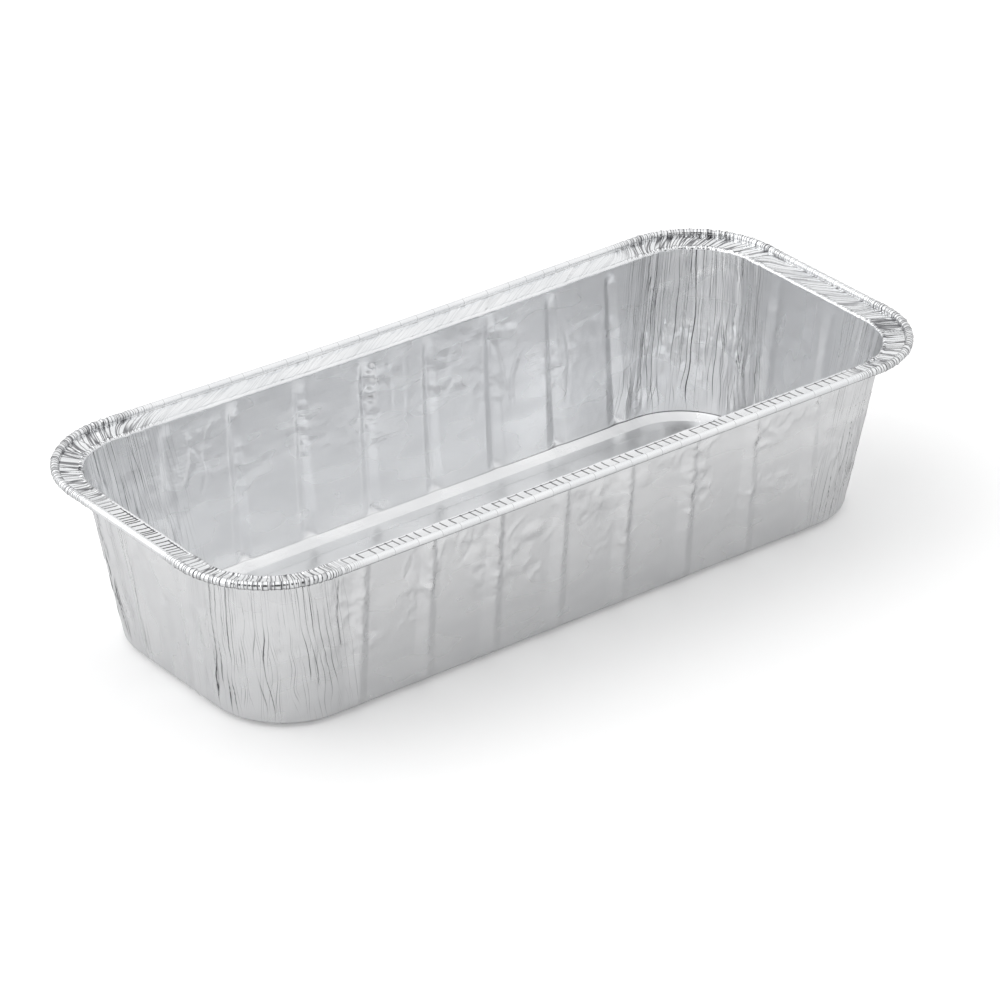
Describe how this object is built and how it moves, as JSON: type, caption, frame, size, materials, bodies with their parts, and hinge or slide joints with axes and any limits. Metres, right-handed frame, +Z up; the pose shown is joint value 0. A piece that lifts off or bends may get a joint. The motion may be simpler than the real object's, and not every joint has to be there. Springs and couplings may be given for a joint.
{
  "type": "drip pan",
  "caption": "Shallow rectangular drip pan pressed from thin aluminium foil, with rounded corners, ribbed sloping walls, a raised floor panel and a rolled rim.",
  "frame": {"origin": "middle of the standing ring, on the plane that the pan stands on", "axes": "+X along the pan, +Y across it, +Z up out of the mouth"},
  "size_m": [0.34, 0.15, 0.074],
  "materials": {
    "foil": "bright rolled foil with fine wrinkles"
  },
  "bodies": {
    "root": {"pan": "foil"}
  },
  "joints": []
}
